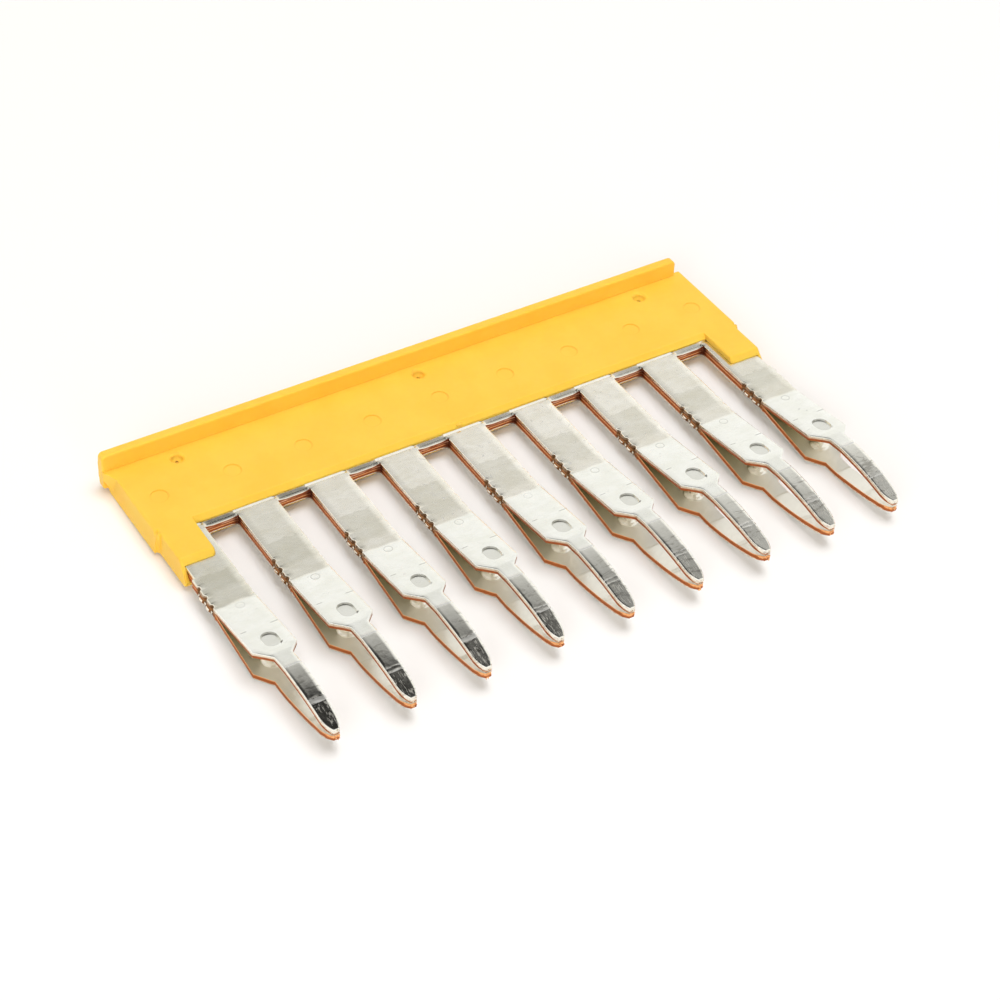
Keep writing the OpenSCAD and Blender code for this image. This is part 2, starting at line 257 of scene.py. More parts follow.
def inset_points(loop, amounts):
    """The loop moved inwards, each point by its own amount, along the mitre of its corner."""
    out = []
    n = len(loop)
    for i in range(n):
        p, q, r = loop[i - 1], loop[i], loop[(i + 1) % n]
        a = Vector((q[0] - p[0], q[1] - p[1])).normalized()
        b = Vector((r[0] - q[0], r[1] - q[1])).normalized()
        na, nb = Vector((-a.y, a.x)), Vector((-b.y, b.x))
        m = na + nb
        if m.length < 1e-6:
            m = na
        m.normalize()
        k = min(1 / max(m.dot(na), 0.4), 1.6) * amounts[i]
        out.append((q[0] + m.x * k, q[1] + m.y * k))
    return out


DIMPLE_F = 11.24
BOSS_F = 11.3
DIMPLE_X = 1.5
DIMPLE_R = 0.52
DIMPLE_RUN = 0.2
DIMPLE_RINGS = (0.545, 0.52, 0.47)
# Radius of each ring of the boss, and how far it stands out
BOSS_RINGS = ((0.70, 0.0), (0.66, 0.012), (0.60, 0.045), (0.52, 0.105),
              (0.43, 0.17), (0.33, 0.228), (0.22, 0.27), (0.1, 0.294))
MARK_X = 1.49
MARK_F = 7.35
MARK_RINGS = (0.24, 0.27, 0.30)
MARK_DEPTH = (0.003, 0.007, 0.006, 0.005, 0.003, 0.005, 0.006, 0.005, 0.006)
ROOT_ROWS = (0.09, 0.12, 0.17, 0.21, 0.25, 0.30, 0.34, 0.37, 0.383, 0.41, 0.45, 0.495, 0.56)
ROOT_COLUMNS = (-0.9, -0.5, -0.2, -0.15, -0.11, -0.06, 0.0, 0.5, 1.0, 1.5,
                2.0, 2.5, 2.68, 2.74, 2.80, 2.86, 2.92, 3.0, 3.4, 3.8)
# How each blade differs in mm at its tip, by leg number: the upper comb's first, then the lower one's
TIP_LIFT = ({6: 0.16, 8: -0.10, 3: 0.03, 1: -0.04}, {6: -0.14, 8: 0.20, 2: 0.04, 5: -0.03})
TIP_TURN = ({1: 0.035, 3: -0.03, 5: 0.01}, {})


def leg_at(x):
    """Number of the leg at this place along the row, and the distance from the leg's left edge."""
    i = min(max(int((x + 1.15) // PITCH), 0), POLES - 1)
    return i, x - i * PITCH


def drift(i, f, seed):
    """Small differences in how far each blade is bent. The seed is 0 for the upper comb, 1 for the lower."""
    t = max(f - 14.0, 0.0) / 5.0
    nose = max(f - 16.9, 0.0)
    return TIP_LIFT[seed].get(i, 0.0) * t * t + TIP_TURN[seed].get(i, 0.0) * nose


def root_shape(lx, y):
    """The scored line at the root of a leg, next to the plate, and the rounded spine in the gaps."""
    line = -max(0.0, min(1.02 * (y - 0.25), 1.08 * (0.495 - y)))
    on_leg = smooth(-0.16, -0.10, lx) * (1 - smooth(2.68, 2.80, lx))
    in_gap = max(smooth(2.82, 2.96, lx), 1 - smooth(-0.16, -0.02, lx))
    return line * on_leg - (0.18 * max(0.44 - y, 0.0) + 0.40 * max(0.16 - y, 0.0)) * in_gap


def ridge(f, at, half):
    """1 at a place, falling in a straight line to 0 at half a width from it."""
    return max(0.0, 1 - abs(f - at) / half)


def outer_shape(x, y, seed):
    """Height of the outer face over the middle plane, with its dimple, coined line and marks."""
    i, lx = leg_at(x)
    f = -y
    bend = smooth(6.3, 6.8, f) * (1 - smooth(7.1, 7.6, f))
    z = outer_z(f + 0.16 * bend * wave(x, 0.0, 9.0 + i, 0.9)) + drift(i, f, seed)
    if f > 0.5:
        amp = 0.0012 + 0.0022 * smooth(13.5, 15, f)
        z += amp * wave(x + 31 * seed, y, 3.1 + i, 1.1)
    if f > 16.3:
        rough = 0.6 + 0.9 * wave(x, 0.0, 4.0 + i + 9 * seed, 3.0)
        near = 0.05 * wave(x, 1.0, 6.0 + i, 1.6)
        z += 0.016 * rough * (ridge(f + near, 16.65, 0.07) + ridge(f - near, 16.96, 0.07))
    r = math.hypot(lx - DIMPLE_X, max(abs(f - DIMPLE_F) - DIMPLE_RUN, 0.0))
    if r < 0.55:
        z -= 0.11 * min(max((DIMPLE_R - r) / 0.05, 0.0), 1.0) + 0.006
    r = math.hypot(lx - MARK_X, f - MARK_F)
    z -= MARK_DEPTH[i] * max(0.0, 1 - abs(r - MARK_RINGS[1]) / 0.035)
    if y > -0.1:
        z += root_shape(lx, y)
    return z


def inner_shape(x, y, seed):
    """Height of the inner face, with the boss that the dimple raises."""
    i, lx = leg_at(x)
    f = -y
    z = inner_z(f) + drift(i, f, seed)
    if f > 7.5:
        z += 0.0015 * wave(x + 17 + 31 * seed, y, 7.7 + i, 1.0)
    r = math.hypot(lx - DIMPLE_X, f - BOSS_F)
    if r < 0.70:
        rings = [b[0] for b in BOSS_RINGS][::-1]
        lifts = [b[1] for b in BOSS_RINGS][::-1]
        z -= float(np.interp(r, rings, lifts))
    return z


def add_ring(verts, edges, cx, cy, r, n, run=0.0):
    """A circle, or with a run a slot that is longer along the leg."""
    base = len(verts)
    for k in range(n):
        a = 2 * math.pi * (k + 0.5) / n
        verts.append((cx + r * math.cos(a), cy + r * math.sin(a) + math.copysign(run, math.sin(a))))
        edges.append((base + k, base + (k + 1) % n))


def columns(f):
    """How many strips a row across a leg is cut into."""
    if 6.5 < f < 7.3:
        return 9
    return 14 if f > 16.3 else 6


def face_net(loop, rows, seed, outer):
    """Triangles that cover the loop, with points where the face has detail."""
    verts = list(loop)
    n = len(loop)
    edges = [(i, (i + 1) % n) for i in range(n)]
    for a, b in rows:
        p, q = Vector(loop[a]), Vector(loop[b])
        f = -(p.y + q.y) / 2
        count = columns(f)
        last = a
        crossed = False
        for k in range(1, count):
            m = p.lerp(q, k / count)
            lx = leg_at(m.x)[1]
            if outer:
                busy = abs(f - DIMPLE_F) < 0.8 and abs(lx - DIMPLE_X) < 0.6
                busy = busy or (abs(f - MARK_F) < 0.35 and abs(lx - MARK_X) < 0.35)
            else:
                busy = abs(f - BOSS_F) < 0.74 and abs(lx - DIMPLE_X) < 0.74
            if busy:
                crossed = True
                continue
            verts.append((m.x, m.y))
            if not crossed:
                edges.append((last, len(verts) - 1))
            crossed = False
            last = len(verts) - 1
        edges.append((last, b))
    for i in range(POLES):
        x0 = i * PITCH
        if outer:
            for r in DIMPLE_RINGS:
                add_ring(verts, edges, x0 + DIMPLE_X, -DIMPLE_F, r, 40, DIMPLE_RUN)
            verts.append((x0 + DIMPLE_X, -DIMPLE_F))
            for r in MARK_RINGS:
                add_ring(verts, edges, x0 + MARK_X, -MARK_F, r, 28)
            verts.append((x0 + MARK_X, -MARK_F))
        else:
            for r, _ in BOSS_RINGS:
                add_ring(verts, edges, x0 + DIMPLE_X, -BOSS_F, r, 36)
            verts.append((x0 + DIMPLE_X, -BOSS_F))
    if outer:
        for y in ROOT_ROWS:
            last = None
            for x in (i * PITCH + v for i in range(POLES) for v in ROOT_COLUMNS):
                if 0.3 < x < ROW - 0.3:
                    verts.append((x, y))
                    if last is not None:
                        edges.append((last, len(verts) - 1))
                    last = len(verts) - 1
    out = delaunay_2d_cdt([Vector(v) for v in verts], edges, [list(range(n))], 1, 1e-6)
    points, _, faces, origin = out[0], out[1], out[2], out[3]
    place = {}
    for k, ids in enumerate(origin):
        for j in ids:
            if j < n:
                place[j] = k
    return points, faces, place


ROLL_STEPS = ((1.0, 0.0), (0.5, 0.134), (0.134, 0.5), (0.0, 1.0))
# Rows of points down a wall, and how far each stands in: the cut bellies out, then breaks away inwards
WALL_STEPS = ((0.14, 0.0), (0.3, -0.016), (0.5, -0.012), (0.68, 0.010), (0.85, 0.022))
CHAMFER = 0.022


def ragged(row, x, y, seed):
    """Moves a point of the sheared wall in or out a little, more so at the broken tip."""
    tip = smooth(18.5, 18.95, -y)
    return (0.007 + 0.06 * tip) * wave(x + 11 * seed, y + row * 0.9, 2.0 + 5 * seed, 3.0 + 6.0 * tip)


def bulge(side, f, v, seed):
    """How far the wall stands out between the nicks, and at the small tooth beyond them."""
    if side != LEFT or not 4.4 < f < 7.15:
        return 0.0
    if abs(f - 7.0) < 0.09:
        return 0.06 * ridge(f, 7.0, 0.09)
    away = min(abs(f - c) for c in NICKS)
    if not seed:
        return 0.05 * smooth(4.7, 4.8, f) * smooth(0.18, 0.34, away) * (1 - 3.2 * (v - 0.48) ** 2)
    run = smooth(4.5, 4.75, f) * (1 - smooth(6.55, 6.85, f))
    bead = 1 - 3.6 * (v - 0.60) ** 2
    return nick_depth(f, NICK_IN) * run + (0.035 + 0.115 * smooth(0.10, 0.34, away)) * run * bead


def make_comb(name, seed, flip):
    """One comb as a closed mesh, in metres, in the frame of the bar."""
    loop, sides, rows = comb_loop()
    n = len(loop)
    mesh = bmesh.new()
    # Place between the outer face, at 0, and the inner one, at 1, for the materials
    ev = mesh.verts.layers.float.new("edge_v")
    rolls = [roll_size(s, -p[1]) for s, p in zip(sides, loop)]
    base = inset_points(loop, [r[0] for r in rolls])
    turned = -1.0 if flip else 1.0

    def vert(x, y, z, v):
        b = mesh.verts.new(((x - CENTRE_X) * MM, (y - CENTRE_Y) * MM, (MID_Z + turned * z) * MM))
        b[ev] = v
        return b

    def tri(vs, slot):
        if len(set(vs)) < 3:
            return
        try:
            f = mesh.faces.new(vs[::-1] if flip else vs)
        except ValueError:
            return
        f.material_index = slot
        f.smooth = True

    nets = {}
    for outer in (True, False):
        points, faces, place = face_net(base, rows, seed, outer)
        shape = outer_shape if outer else inner_shape
        made = [vert(p.x, p.y, shape(p.x, p.y, seed), 0.0 if outer else 1.0) for p in points]
        for f in faces:
            ids = [made[k] for k in f]
            tri(ids if outer else ids[::-1], 0)
        nets[outer] = [made[place[j]] for j in range(n)]

    rings = [nets[True]]
    spine = [s == OTHER and p[1] > -0.2 for s, p in zip(sides, loop)]
    for step, (share, drop) in enumerate(ROLL_STEPS[1:]):
        # towards the right the rounding is an even slope, which shines
        at = [((2 - step) / 3, (step + 1) / 3) if s == RIGHT else (share, drop) for s in sides]
        pts = inset_points(loop, [r[0] * a[0] for r, a in zip(rolls, at)])
        ring = []
        for p, r, a, up in zip(pts, rolls, at, spine):
            mark = 0.5 if seed == 0 and step and up else 0.04 * a[1]
            ring.append(vert(p[0], p[1], outer_shape(p[0], p[1], seed) - r[1] * a[1], mark))
        rings.append(ring)
    top = [outer_shape(p[0], p[1], seed) - r[1] for p, r in zip(loop, rolls)]
    low = [inner_shape(p[0], p[1], seed) + CHAMFER for p in loop]
    normals = inset_points(loop, [1.0] * n)
    for row, (v, back) in enumerate(WALL_STEPS):
        ring = []
        for i, p in enumerate(loop):
            dx, dy = normals[i][0] - p[0], normals[i][1] - p[1]
            length = math.hypot(dx, dy)
            out = bulge(sides[i], -p[1], v, seed)
            s = ragged(row, p[0], p[1], seed) + back - out
            if sides[i] == RIGHT:
                s = max(s, 0.004 + 0.012 * v)
            x, y = p[0] + dx / length * s, p[1] + dy / length * s
            y = max(y, -LEG_L - 0.06)
            mark = 0.01 if out > 0.09 and v > 0.4 else v * (0.45 if sides[i] == RIGHT else 1.0)
            if spine[i]:
                mark = max(mark, 0.5) if seed == 0 else mark
            ring.append(vert(x, y, top[i] + (low[i] - top[i]) * v, mark))
        rings.append(ring)
    rings.append([vert(p[0], p[1], low[i], 0.97) for i, p in enumerate(loop)])
    pts = inset_points(loop, [CHAMFER] * n)
    rings.append([vert(p[0], p[1], inner_shape(p[0], p[1], seed), 1.0) for p in pts])
    rings.append(nets[False])
    for k in range(len(rings) - 1):
        a, b = rings[k], rings[k + 1]
        for i in range(n):
            j = (i + 1) % n
            slot = 0 if k < (1 if spine[i] and spine[j] else 3) or k == len(rings) - 2 else 1
            tri([a[j], a[i], b[i], b[j]], slot)
    for i in range(POLES):
        add_burr(vert, tri, i, seed)
    bmesh.ops.remove_doubles(mesh, verts=mesh.verts[:], dist=1e-8)
    data = bpy.data.meshes.new(name)
    mesh.to_mesh(data)
    mesh.free()
    obj = bpy.data.objects.new(name, data)
    bpy.context.scene.collection.objects.link(obj)
    data.set_sharp_from_angle(angle=math.radians(38))
    m = obj.modifiers.new("even", "WEIGHTED_NORMAL")
    m.keep_sharp = True
    m.weight = 60
    return obj


def add_burr(vert, tri, i, seed):
    """Torn spurs of copper along a blade's end, where it was broken from the carrier strip."""
    r = np.random.default_rng(40 + 10 * i + seed)
    for _ in range(5 if seed else 2):
        x = i * PITCH + 1.50 + 0.34 * r.random()
        share = 0.15 + 0.75 * r.random()
        z = inner_z(18.98) + drift(i, 18.98, seed) + STRIP * share
        size = 0.05 + 0.05 * r.random()
        tip = (x + 0.10 * r.random() - 0.05, -19.03 - 0.06 * r.random(), z + 0.22 * r.random() - 0.10)
        rings = []
        for y, k, s in ((-18.97, 0.0, 1.0), (-19.01, 0.5, 0.8)):
            turn = r.random()
            rings.append([vert(x + (tip[0] - x) * k + size * s * math.cos(2 * math.pi * q / 6 + turn), y,
                               z + (tip[2] - z) * k + size * s * math.sin(2 * math.pi * q / 6 + turn), 0.7)
                          for q in range(6)])
        end = vert(tip[0], tip[1], tip[2], 0.6)
        for q in range(6):
            j = (q + 1) % 6
            tri([rings[0][j], rings[0][q], rings[1][q], rings[1][j]], 1)
            tri([rings[1][j], rings[1][q], end], 1)


# Moulded body

HOLES = (3.95, 21.8, 39.65)
HOLE_Y = 6.28
EJECTOR_X = 1.4
EJECTOR_Y = 3.52
GATE_X = 21.55
GATE_Y = 0.6
EDGE_R = 0.13
EDGE_STEPS = 4
# Radius and height of each ring of the skin in a pin hole
SKIN_RINGS = ((0.405, 0.66), (0.33, 0.54), (0.22, 0.475), (0.13, 0.445))
SKIN_SIDES = 24


def make_body():
    """The moulded body, from the CAD solid, with its edges rounded as a mould leaves them."""
    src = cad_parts["insulating_body"]
    data = src.data.copy()
    data.materials.clear()
    old = data.attributes.get("custom_normal")
    if old:
        data.attributes.remove(old)
    b = bmesh.new()
    b.from_mesh(data)
    bmesh.ops.remove_doubles(b, verts=b.verts[:], dist=2e-7)
    bmesh.ops.dissolve_limit(b, angle_limit=math.radians(1.0), verts=b.verts[:], edges=b.edges[:])
    weight = b.edges.layers.float.new("bevel_weight_edge")
    for e in b.edges:
        e[weight] = edge_weight(e)
    for x in HOLES:
        add_skin(b, x)
    b.to_mesh(data)
    b.free()
    obj = bpy.data.objects.new("moulded_body", data)
    bpy.context.scene.collection.objects.link(obj)
    m = obj.modifiers.new("edges", "BEVEL")
    m.limit_method = "WEIGHT"
    m.width = EDGE_R * MM
    m.segments = EDGE_STEPS
    m.use_clamp_overlap = False
    m.miter_outer = "MITER_ARC"
    for p in data.polygons:
        p.use_smooth = False
    rounded = bpy.data.meshes.new_from_object(obj.evaluated_get(bpy.context.evaluated_depsgraph_get()))
    obj.modifiers.clear()
    mend_faces(rounded)
    obj.data = rounded
    return obj


def mend_faces(data):
    """Cuts every face whose outline crosses itself after the rounding into clean triangles."""
    data.calc_loop_triangles()
    folded = {}
    for t in data.loop_triangles:
        p, q, r = (data.vertices[k].co / MM for k in t.vertices)
        n = (q - p).cross(r - p)
        if n.dot(data.polygons[t.polygon_index].normal) < 0:
            folded[t.polygon_index] = folded.get(t.polygon_index, 0.0) + n.length / 2
    b = bmesh.new()
    b.from_mesh(data)
    b.faces.ensure_lookup_table()
    for f in [b.faces[k] for k, area in folded.items() if area > 0.005]:
        n = f.normal.copy()
        u = n.orthogonal().normalized()
        w = n.cross(u)
        corners = list(f.verts)
        level = n * corners[0].co.dot(n)
        flat = [Vector((v.co.dot(u) / MM, v.co.dot(w) / MM)) for v in corners]
        out = delaunay_2d_cdt(flat, [], [list(range(len(flat)))], 1, 1e-5)
        b.faces.remove(f)
        verts = [corners[ids[0]] if ids else b.verts.new((u * p.x + w * p.y) * MM + level)
                 for p, ids in zip(out[0], out[3])]
        for t in out[2]:
            p, q, r = (out[0][k] for k in t)
            turn = (q.x - p.x) * (r.y - p.y) - (q.y - p.y) * (r.x - p.x)
            try:
                b.faces.new([verts[k] for k in (t if turn > 0 else t[::-1])])
            except ValueError:
                pass
    b.to_mesh(data)
    b.free()


def add_skin(b, x):
    """Thin flash of plastic that crept over the metal at the bottom of a pin hole."""
    rings = []
    for r, z in SKIN_RINGS:
        ring = []
        for k in range(SKIN_SIDES):
            a = 2 * math.pi * k / SKIN_SIDES
            place = (x + r * math.cos(a) - CENTRE_X, HOLE_Y + r * math.sin(a) - CENTRE_Y,
                     MID_Z + z + 0.015 * math.sin(3 * a + x))
            ring.append(b.verts.new([v * MM for v in place]))
        rings.append(ring)
    for p, q in zip(rings, rings[1:]):
        for k in range(SKIN_SIDES):
            j = (k + 1) % SKIN_SIDES
            b.faces.new([p[k], p[j], q[j], q[k]])


def edge_weight(e):
    """How far an edge of the body is rounded: the long outer ones most, marks, holes and slots not at all."""
    if len(e.link_faces) != 2:
        return 0.0
    angle = math.degrees(e.calc_face_angle(0))
    mid = (e.verts[0].co + e.verts[1].co) / 2 / MM
    x, y, z = mid.x + CENTRE_X, mid.y + CENTRE_Y, mid.z - MID_Z
    if angle < 20 or not e.is_convex:
        return 0.0
    in_slot = abs(z) < 0.46 and y < 7.0
    on_plate = abs(z) < 0.9
    lx = leg_at(x)[1]
    by_mark = on_plate and math.hypot(lx - EJECTOR_X, y - EJECTOR_Y) < 0.7
    by_hole = on_plate and min(math.hypot(x - c, y - HOLE_Y) for c in HOLES) < 0.5
    by_gate = math.hypot(x - GATE_X, y - GATE_Y) < 0.45
    lip_end = x < -0.4 and y > 6.4 and -0.4 < z < 0.9
    if in_slot or by_mark or by_hole or by_gate or lip_end:
        return 0.0
    return 0.5 if angle < 60 else 1.0


# Materials

def empty_tree(owner):
    """The node tree of a material or a world, with nothing in it."""
    owner.use_nodes = True
    for n in list(owner.node_tree.nodes):
        owner.node_tree.nodes.remove(n)
    return owner.node_tree


def new_material(name):
    """A material with one plain shader, its tree and that shader."""
    mat = bpy.data.materials.new(name)
    nt = empty_tree(mat)
    out = nt.nodes.new("ShaderNodeOutputMaterial")
    shader = nt.nodes.new("ShaderNodeBsdfPrincipled")
    nt.links.new(shader.outputs[0], out.inputs[0])
    return mat, nt, shader


class Nodes:
    """Short calls that add a node and link its inputs."""

    def __init__(self, nt):
        self.nt = nt

    def put(self, socket, value):
        if isinstance(value, bpy.types.NodeSocket):
            self.nt.links.new(value, socket)
        else:
            socket.default_value = value

    def coords(self, scale=(1000, 1000, 1000), shift=(0, 0, 0)):
        tc = self.nt.nodes.new("ShaderNodeTexCoord")
        m = self.nt.nodes.new("ShaderNodeMapping")
        m.inputs["Scale"].default_value = scale
        m.inputs["Location"].default_value = shift
        self.nt.links.new(tc.outputs["Object"], m.inputs["Vector"])
        return m.outputs[0]

    def noise(self, vector, scale, detail=3.0, rough=0.5, distortion=0.0):
        n = self.nt.nodes.new("ShaderNodeTexNoise")
        self.put(n.inputs["Vector"], vector)
        n.inputs["Scale"].default_value = scale
        n.inputs["Detail"].default_value = detail
        n.inputs["Roughness"].default_value = rough
        n.inputs["Distortion"].default_value = distortion
        return n.outputs["Fac"]

    def axis(self, vector, name):
        n = self.nt.nodes.new("ShaderNodeSeparateXYZ")
        self.put(n.inputs[0], vector)
        return n.outputs[name]

    def far(self, a, b):
        return self.math("SQRT", self.math("ADD", self.math("MULTIPLY", a, a), self.math("MULTIPLY", b, b)))

    def math(self, kind, a, b=0.0, c=0.0, clamp=False):
        n = self.nt.nodes.new("ShaderNodeMath")
        n.operation = kind
        n.use_clamp = clamp
        for s, v in zip(n.inputs, (a, b, c)):
            self.put(s, v)
        return n.outputs[0]

    def remap(self, value, a, b, c=0.0, d=1.0, kind="SMOOTHSTEP"):
        n = self.nt.nodes.new("ShaderNodeMapRange")
        n.interpolation_type = kind
        self.put(n.inputs["Value"], value)
        for s, v in zip(("From Min", "From Max", "To Min", "To Max"), (a, b, c, d)):
            n.inputs[s].default_value = v
        return n.outputs[0]

    def mix(self, fac, a, b):
        n = self.nt.nodes.new("ShaderNodeMix")
        n.data_type = "RGBA"
        self.put(n.inputs[0], fac)
        self.put(n.inputs[6], a)
        self.put(n.inputs[7], b)
        return n.outputs[2]

    def ramp(self, fac, stops):
        n = self.nt.nodes.new("ShaderNodeValToRGB")
        self.put(n.inputs[0], fac)
        cr = n.color_ramp
        while len(cr.elements) > 1:
            cr.elements.remove(cr.elements[-1])
        cr.elements[0].position = stops[0][0]
        cr.elements[0].color = stops[0][1]
        for p, c in stops[1:]:
            e = cr.elements.new(p)
            e.color = c
        return n.outputs[0]

    def bump(self, height, distance, strength=1.0, normal=None):
        n = self.nt.nodes.new("ShaderNodeBump")
        n.inputs["Strength"].default_value = strength
        n.inputs["Distance"].default_value = distance
        self.put(n.inputs["Height"], height)
        if normal is not None:
            self.put(n.inputs["Normal"], normal)
        return n.outputs[0]


def leg_frame(k, p):
    """Distance along the leg, place across it and number of the leg (0 to 1), all from the place in mm."""
    f = k.math("MULTIPLY_ADD", k.axis(p, "Y"), -1.0, -CENTRE_Y)
    u = k.math("DIVIDE", k.math("ADD", k.axis(p, "X"), CENTRE_X + 1.15), PITCH)
    leg = k.math("FLOOR", u)
    lx = k.math("MULTIPLY_ADD", k.math("SUBTRACT", u, leg), PITCH, -1.15)
    return f, lx, k.math("DIVIDE", k.math("ADD", leg, 0.5), POLES)


def per_leg(k, leg, values):
    """One value between 0 and 1 for each leg."""
    n = k.nt.nodes.new("ShaderNodeValToRGB")
    k.put(n.inputs[0], leg)
    cr = n.color_ramp
    cr.interpolation = "CONSTANT"
    cr.elements.remove(cr.elements[-1])
    cr.elements[0].position = 0.0
    for i, v in enumerate(values):
        e = cr.elements[0] if i == 0 else cr.elements.new(i / POLES)
        e.color = (v, v, v, 1)
    return n.outputs[0]


def band(k, value, at, half):
    """1 at a place, falling to 0 at half a width from it."""
    return k.remap(k.math("ABSOLUTE", k.math("SUBTRACT", value, at)), half * 0.5, half, 1.0, 0.0)


def tin_material():
    """Bright tin plate: soft clouds on the straight part, scuffs, rubbed bands at the prongs' bends with a
    painted highlight, painted dark reflections on the prongs, and painted shade in the dimples and on the
    inner faces.
    """
    mat, nt, s = new_material("bright_tin")
    k = Nodes(nt)
    p = k.coords()
    f, lx, leg = leg_frame(k, p)
    straight = k.remap(f, 6.7, 7.1, 1.0, 0.0)
    prong = k.remap(f, 13.4, 14.2, 0.0, 1.0)
    cloud = k.noise(k.coords((700, 1100, 900)), 1.0, 4.0, 0.6)
    blotch = k.noise(k.coords((1500, 2600, 1500), (7, 3, 1)), 1.0, 4.0, 0.6, 0.4)
    fine = k.noise(k.coords((2200, 9000, 5000)), 1.0, 3.0, 0.6)
    # colour: warm on the straight part, whiter beyond the bend
    warm = k.mix(k.remap(cloud, 0.3, 0.7), (0.90, 0.86, 0.75, 1), (0.98, 0.95, 0.87, 1))
    clean = k.mix(k.remap(cloud, 0.3, 0.7), (0.86, 0.86, 0.79, 1), (0.91, 0.91, 0.86, 1))
    tone = k.mix(straight, clean, warm)
    tone = k.mix(k.math("MULTIPLY", prong, 0.5), tone, (0.90, 0.87, 0.78, 1))
    # painted dark reflections on the prongs, in patches
    prong_dark_reflection = k.noise(k.coords((900, 2300, 900), (4, 9, 2)), 1.0, 4.0, 0.65, 0.8)
    on_prong = k.math("MULTIPLY", k.remap(f, 14.2, 15.4), k.remap(f, 18.6, 19.0, 1.0, 0.0))
    prong_dark_reflection = k.math("MULTIPLY", k.remap(prong_dark_reflection, 0.50, 0.66), on_prong)
    tone = k.mix(k.math("MULTIPLY", prong_dark_reflection, 0.55), tone, (0.34, 0.32, 0.27, 1))
    at = nt.nodes.new("ShaderNodeAttribute")
    at.attribute_name = "edge_v"
    outer = k.remap(at.outputs["Fac"], 0.5, 0.9, 1.0, 0.0)
    dull = per_leg(k, leg, (1.0, 0.62, 0.25, 0.2, 0.1, 0.1, 0.15, 0.4, 0.7))
    tone = k.mix(k.math("MULTIPLY", dull, k.math("MULTIPLY", straight, 0.30)), tone, (0.42, 0.42, 0.30, 1))
    # patch that a clamp left on each leg
    start = per_leg(k, leg, (0.40, 0.33, 0.33, 0.32, 0.32, 0.32, 0.32, 0.35, 0.40))
    end = per_leg(k, leg, (0.55, 0.56, 0.60, 0.64, 0.61, 0.60, 0.61, 0.56, 0.56))
    fw = k.math("MULTIPLY_ADD", blotch, 0.7, k.math("SUBTRACT", f, 0.35))
    since = k.math("SUBTRACT", fw, k.math("MULTIPLY", start, 10.0))
    until = k.math("SUBTRACT", fw, k.math("MULTIPLY", end, 10.0))
    patch = k.math("MULTIPLY", k.remap(since, -0.12, 0.18), k.remap(until, -0.3, 0.3, 1.0, 0.0))
    inside = k.math("MULTIPLY", k.remap(lx, 0.15, 0.5), k.remap(lx, 2.2, 2.55, 1.0, 0.0))
    patch = k.math("MULTIPLY", patch, inside)
    tone = k.mix(k.math("MULTIPLY", patch, 0.20), tone, (0.40, 0.39, 0.28, 1))
    rim = k.remap(k.math("ABSOLUTE", since), 0.02, 0.12, 1.0, 0.0)
    tone = k.mix(k.math("MULTIPLY", k.math("MULTIPLY", rim, patch), 0.22), tone, (0.30, 0.28, 0.20, 1))
    # scuffs, dark and light
    scuff = k.noise(k.coords((1600, 5200, 3000), (3.1, 0, 0)), 1.0, 3.0, 0.55, 0.6)
    scuff = k.math("MULTIPLY", k.remap(scuff, 0.68, 0.76), k.math("SUBTRACT", 1.0, prong))
    tone = k.mix(k.math("MULTIPLY", scuff, 0.35), tone, (0.42, 0.41, 0.37, 1))
    spark = k.noise(k.coords((3600, 2600, 3000), (1, 5, 2)), 1.0, 3.0, 0.6, 1.2)
    lively = per_leg(k, leg, (0.25, 0.3, 0.4, 0.9, 1.0, 1.0, 0.9, 0.4, 0.3))
    spark = k.math("MULTIPLY", k.remap(spark, 0.62, 0.70), k.math("MULTIPLY", straight, lively))
    # crosswise dashes that the press tool left behind the dimples
    dash = k.math("MULTIPLY", band(k, k.math("MULTIPLY_ADD", blotch, 0.08, f), 9.88, 0.055),
                  k.math("MAXIMUM", band(k, lx, 0.42, 0.26), band(k, lx, 2.48, 0.34)))
    tone = k.mix(k.math("MULTIPLY", dash, 0.45), tone, (0.35, 0.34, 0.30, 1))
    # thin ring left by a punch, and painted shade on the dimple's floor and a painted dark crescent along its
    # rim
    across = k.math("SUBTRACT", lx, MARK_X)
    r = k.far(across, k.math("SUBTRACT", f, MARK_F))
    shown = per_leg(k, leg, (0.3, 0.8, 0.7, 0.6, 0.3, 0.6, 0.7, 0.6, 0.7))
    ring = k.math("MULTIPLY", band(k, r, 0.27, 0.045), k.math("MULTIPLY", shown, 0.45))
    tone = k.mix(ring, tone, (0.36, 0.35, 0.30, 1))
    ahead = k.math("SUBTRACT", f, DIMPLE_F)
    past = k.math("MAXIMUM", k.math("SUBTRACT", k.math("ABSOLUTE", ahead), DIMPLE_RUN), 0.0)
    r = k.far(across, past)
    # painted shade on the dimple's floor
    tone = k.mix(k.remap(r, 0.47, 0.49, 0.32, 0.0), tone, (0.40, 0.39, 0.34, 1))
    # painted dark crescent of shade along the dimple's far rim
    shade = k.math("MULTIPLY", k.remap(r, 0.38, 0.47), k.remap(r, 0.52, 0.55, 1.0, 0.0))
    lean = k.remap(k.math("MULTIPLY_ADD", across, 0.7, k.math("MULTIPLY", ahead, -1.0)), 0.25, 0.62)
    tone = k.mix(k.math("MULTIPLY", shade, k.math("MULTIPLY", lean, 0.45)), tone, (0.12, 0.11, 0.09, 1))
    nib = k.math("MULTIPLY", band(k, k.math("MULTIPLY_ADD", blotch, 0.3, r), 0.70, 0.10),
                 k.math("MULTIPLY", k.remap(across, 0.30, 0.42), k.remap(ahead, 0.42, 0.55)))
    chipped = per_leg(k, leg, (0.9, 0.9, 0.4, 0.3, 0.15, 0.8, 0.9, 0.2, 0.2))
    tone = k.mix(k.math("MULTIPLY", nib, chipped), tone, (0.10, 0.09, 0.07, 1))
